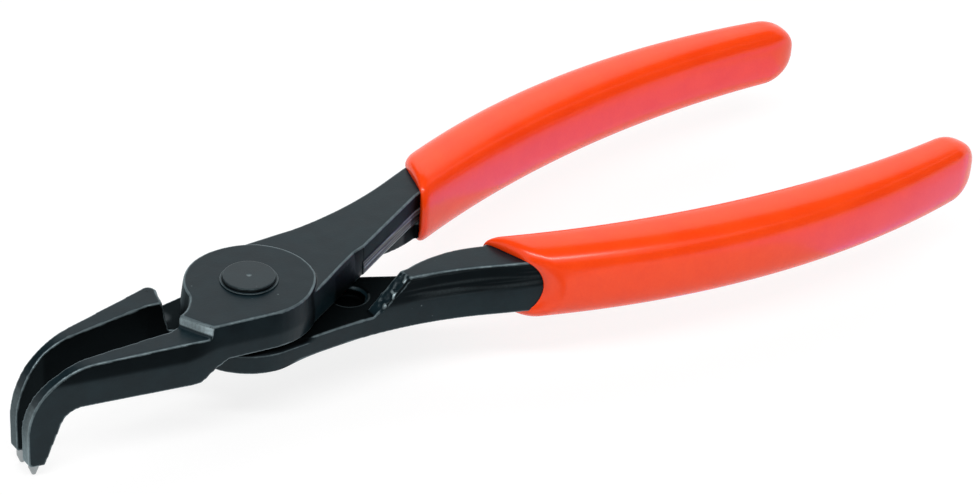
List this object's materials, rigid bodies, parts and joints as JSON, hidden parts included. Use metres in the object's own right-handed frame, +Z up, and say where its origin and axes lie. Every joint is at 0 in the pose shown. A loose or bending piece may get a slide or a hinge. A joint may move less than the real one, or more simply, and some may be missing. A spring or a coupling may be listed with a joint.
{
  "type": "circlip pliers",
  "caption": "Bent-tip pliers for retaining rings in bores: crossed forged levers on a rivet, jaws bent square with round tip pins, curved dipped plastic grips.",
  "frame": {"origin": "centre of the rivet's top face, on the pivot axis", "axes": "+X along the tool from the joint to the handle ends, +Z up along the pivot axis, the tips point to -Z"},
  "size_m": [0.1682, 0.0608, 0.0217],
  "materials": {
    "lever": "satin black on forged steel",
    "rivet": "satin black on steel",
    "tip": "hardened, ground",
    "grip": "dipped, glossy"
  },
  "bodies": {
    "lower_arm": {"lower_lever": "lever", "lower_grip": "grip", "lower_tip": "tip", "pivot_rivet": "rivet"},
    "upper_arm": {"upper_lever": "lever", "upper_grip": "grip", "upper_tip": "tip"}
  },
  "joints": [
    {"name": "pivot", "type": "hinge", "parent": "lower_arm", "child": "upper_arm", "pos_m": [0, 0, 0], "axis": [0, 0, 1], "range_deg": [-1.6, 18]}
  ]
}
